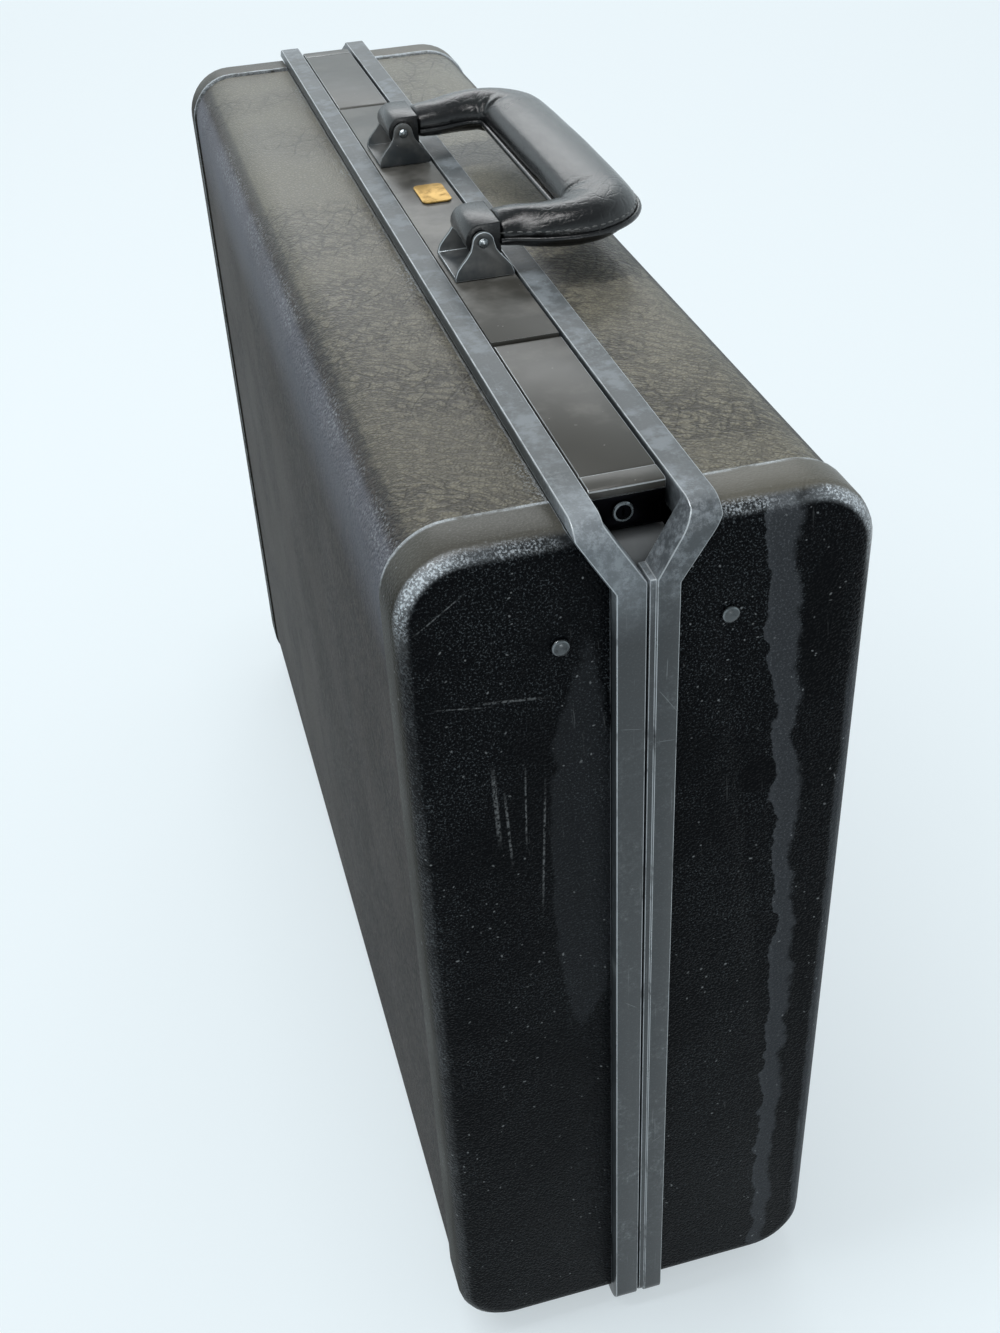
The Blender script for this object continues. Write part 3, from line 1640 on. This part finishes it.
    def stitches(self, grip: bpy.types.Object) -> None:
        """A row of stitches on the crown beside the outer welt.

        Args:
            grip: the finished grip, on which they lie.
        """
        line = [Vector(p) for p in self.path.edge_line(1, self.stitch_lift, self.stitch_inset)]
        spots: List[Matrix] = []
        carried = 0.0
        for start, end in zip(line, line[1:]):
            run = end - start
            while carried < run.length:
                found, place, normal, _ = grip.closest_point_on_mesh(
                    start + run.normalized() * carried
                )
                if found:
                    along = (run - normal * run.dot(normal)).normalized()
                    turn = Matrix((along, normal.cross(along), normal)).transposed().to_4x4()
                    turn.translation = place
                    spots.append(turn)
                carried += self.stitch_pitch * MM
            carried -= run.length
        bpy.ops.object.select_all(action="DESELECT")
        bpy.ops.mesh.primitive_uv_sphere_add(
            segments=self.stitch_sides, ring_count=self.stitch_rings, radius=MM
        )
        first = bpy.context.object
        shape = first.data
        shape.transform(Matrix.Diagonal((*self.stitch_size, 1.0)))
        copies = []
        for spot in spots:
            mesh = shape.copy()
            mesh.transform(spot)
            copy = bpy.data.objects.new("stitch", mesh)
            bpy.context.collection.objects.link(copy)
            copies.append(copy)
        bpy.data.objects.remove(first)
        self.shop.only(copies[0])
        for copy in copies:
            copy.select_set(True)
        bpy.ops.object.join()
        row = bpy.context.object
        row.name = "handle_stitches"
        bpy.ops.object.shade_smooth()
        self.shop.attach(row, "handle", Slot.HANDLE_LEATHER, self.shop.finishes.thread)


@dataclass
class Interior:
    """The glued cloth linings and the document pocket in the lid."""

    shop: Workshop
    edge: float = 0.3
    lining_fill: float = 0.2
    pocket_fill: float = 0.3

    def build(self) -> None:
        """Pads the linings and the pocket."""
        for half in ("base", "lid"):
            self.pad(f"{half}_lining", f"{half}_cloth_lining")
        self.pad("lid_document_pocket", "document_pocket")

    def pad(self, node: str, name: str) -> None:
        """Makes a soft lining piece of a CAD solid.

        Args:
            node: the CAD node.
            name: the piece's name.
        """
        piece = self.shop.softened(node, name, self.edge)


# Stage


@dataclass(frozen=True)
class Lamp:
    """A soft rectangular studio lamp."""

    name: str
    place: Point
    aim: Point
    size: Tuple[float, float]
    power: float

    def build(self) -> None:
        """Adds the lamp."""
        light = bpy.data.lights.new(self.name, "AREA")
        light.shape = "RECTANGLE"
        light.size, light.size_y = self.size
        light.energy = self.power
        lamp = bpy.data.objects.new(self.name, light)
        lamp.location = self.place
        lamp.rotation_euler = (
            (Vector(self.aim) - Vector(self.place)).to_track_quat("-Z", "Y").to_euler()
        )
        bpy.context.collection.objects.link(lamp)


@dataclass(frozen=True)
class Studio:
    """Pale floor, soft lamps and the camera of the photograph."""

    pale: Color = (0.80, 0.905, 0.95)
    floor_size: float = 30.0
    sweep_from: float = 2.0
    sweep_ahead: float = 560.0
    sweep_end: float = 460.0
    camera_mm: Point = (-115.9212, -546.5552, 545.6999)
    azimuth: float = 0.2366
    elevation: float = 0.6348
    roll: float = -0.0544
    focal_px: float = 1566.0779
    image_height: float = 1333.0
    sensor: float = 36.0
    world_strength: float = 0.52
    ceiling: float = 0.35
    fade_height: Place = (0.45, 0.75)
    floor_share: float = 0.5
    floor_glow: Color = (0.455, 0.50, 0.525)
    floor_cloud: Grain = Grain(900.0)
    floor_dip: float = 0.985
    level_from: Place = (0.97, 0.995)
    lamps: Tuple[Lamp, ...] = (
        Lamp("window_softbox", (0.6, 3.2, 2.1), (0.0, 0.0, 0.3), (2.6, 1.2), 23.0),
        Lamp("overhead_strip", (-0.6, -0.1, 2.2), (0.0, 0.0, 0.3), (0.3, 2.0), 24.0),
        Lamp("front_low", (0.3, -2.6, 0.45), (0.0, 0.0, 0.2), (0.5, 0.35), 4.0),
    )

    def build(self) -> None:
        """Builds floor, world, lamps and camera."""
        self.floor()
        self.world()
        for lamp in self.lamps:
            lamp.build()
        self.camera()
        bpy.context.scene.view_settings.view_transform = "Standard"
        LOG.info("studio with %d lamps", len(self.lamps))

    def floor(self) -> None:
        """A large pale floor, whose part round the lid makes way when the lid swings below it."""
        bpy.ops.object.select_all(action="DESELECT")
        bpy.ops.mesh.primitive_plane_add(size=self.floor_size, location=(0, 0, 0))
        floor = bpy.context.object
        floor.name = "studio_floor"
        sweep = self.cut_sweep(floor)
        floor.data.materials.append(self.floor_paint("studio_floor_paint"))
        sweep.data.materials.append(self.floor_paint("studio_sweep_paint", swings=True))
        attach(sweep, "lid")

    def cut_sweep(self, floor: bpy.types.Object) -> bpy.types.Object:
        """Separates the part of the floor that the lid swings through.

        Args:
            floor: the floor, which has to be selected.

        Returns:
            That part, as an object of its own in the floor's plane.
        """
        across = (self.sweep_from, self.sweep_ahead)
        along = (-self.sweep_end, self.sweep_end)
        bpy.ops.object.mode_set(mode="EDIT")
        for direction, places in ((Vector((1, 0, 0)), across), (Vector((0, 1, 0)), along)):
            for place in places:
                bpy.ops.mesh.select_all(action="SELECT")
                bpy.ops.mesh.bisect(plane_co=direction * place * MM, plane_no=direction)
        bpy.ops.mesh.select_mode(type="FACE")
        bpy.ops.mesh.select_all(action="DESELECT")
        bpy.ops.object.mode_set(mode="OBJECT")
        for face in floor.data.polygons:
            x, y = face.center.x / MM, face.center.y / MM
            face.select = across[0] < x < across[1] and along[0] < y < along[1]
        bpy.ops.object.mode_set(mode="EDIT")
        bpy.ops.mesh.separate(type="SELECTED")
        bpy.ops.object.mode_set(mode="OBJECT")
        sweep = next(o for o in bpy.context.selected_objects if o != floor)
        sweep.name = "studio_floor_sweep"
        return sweep

    def floor_paint(self, name: str, swings: bool = False) -> bpy.types.Material:
        """The floor's pale paint.

        Args:
            name: the material's name.
            swings: whether the painted part disappears once it is tilted.

        Returns:
            The material.
        """
        s = Shader(name)
        cloud = s.noise(self.floor_cloud)
        paint = tuple(c * self.floor_share for c in self.pale)
        sockets = {
            "Base_Color": s.blend(paint, tuple(c * self.floor_dip for c in paint), cloud),
            "Roughness": 0.9,
            "Emission_Color": s.blend((0.0, 0.0, 0.0), self.floor_glow, s.seen_ray()),
            "Emission_Strength": 1.0,
        }
        if swings:
            facing = s.node("ShaderNodeNewGeometry").outputs["True Normal"]
            upright = s.node("ShaderNodeSeparateXYZ", {}, {"Vector": facing}).outputs["Z"]
            sockets["Alpha"] = Value(s, upright).over(*self.level_from)
        return s.finish(**sockets)

    def world(self) -> None:
        """Soft light from all round, and the pale backdrop that the camera sees."""
        world = bpy.data.worlds.new("studio_world")
        bpy.context.scene.world = world
        world.use_nodes = True
        nodes = Nodes(world.node_tree)
        way = nodes.node("ShaderNodeTexCoord").outputs["Generated"]
        parts = nodes.node("ShaderNodeSeparateXYZ", {}, {"Vector": way})
        fade = nodes.node(
            "ShaderNodeMapRange",
            {},
            {
                "Value": parts.outputs["Z"],
                "From Min": self.fade_height[0],
                "From Max": self.fade_height[1],
                "To Min": 1.0,
                "To Max": self.ceiling,
            },
        )
        light, seen = (
            nodes.node("ShaderNodeBackground", {}, {"Color": (*color, 1), "Strength": strength})
            for color, strength in (
                ((1, 1, 1), self.world_strength),
                (self.pale, fade.outputs["Result"]),
            )
        )
        mix = nodes.node(
            "ShaderNodeMixShader",
            {},
            {0: nodes.seen_ray(), 1: light.outputs[0], 2: seen.outputs[0]},
        )
        nodes.node("ShaderNodeOutputWorld", {}, {"Surface": mix.outputs[0]})

    def camera(self) -> None:
        """The camera at the photograph's place, turn and focal length."""
        ahead = Vector(
            (
                math.sin(self.azimuth) * math.cos(self.elevation),
                math.cos(self.azimuth) * math.cos(self.elevation),
                -math.sin(self.elevation),
            )
        )
        level = ahead.cross(Vector((0, 0, 1))).normalized()
        upright = level.cross(ahead)
        right = math.cos(self.roll) * level + math.sin(self.roll) * upright
        top = -math.sin(self.roll) * level + math.cos(self.roll) * upright
        lens = bpy.data.cameras.new("photo_camera")
        lens.sensor_fit = "AUTO"
        lens.sensor_width = self.sensor
        lens.lens = self.focal_px * self.sensor / self.image_height
        lens.clip_start = 0.01
        camera = bpy.data.objects.new("photo_camera", lens)
        place = Matrix((right, top, -ahead)).transposed().to_4x4()
        place.translation = Vector(self.camera_mm) * MM
        camera.matrix_world = place
        bpy.context.collection.objects.link(camera)
        bpy.context.scene.camera = camera


def main() -> None:
    """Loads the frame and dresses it."""
    logging.basicConfig(level=logging.INFO, format="%(name)s: %(message)s")
    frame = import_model()
    shop = Workshop(frame, FinishRack())
    shop.dress_nodes()
    Shells(shop).build()
    Hardware(shop).build()
    Handle(shop).build()
    Interior(shop).build()
    Studio().build()


if __name__ == "__main__":
    main()
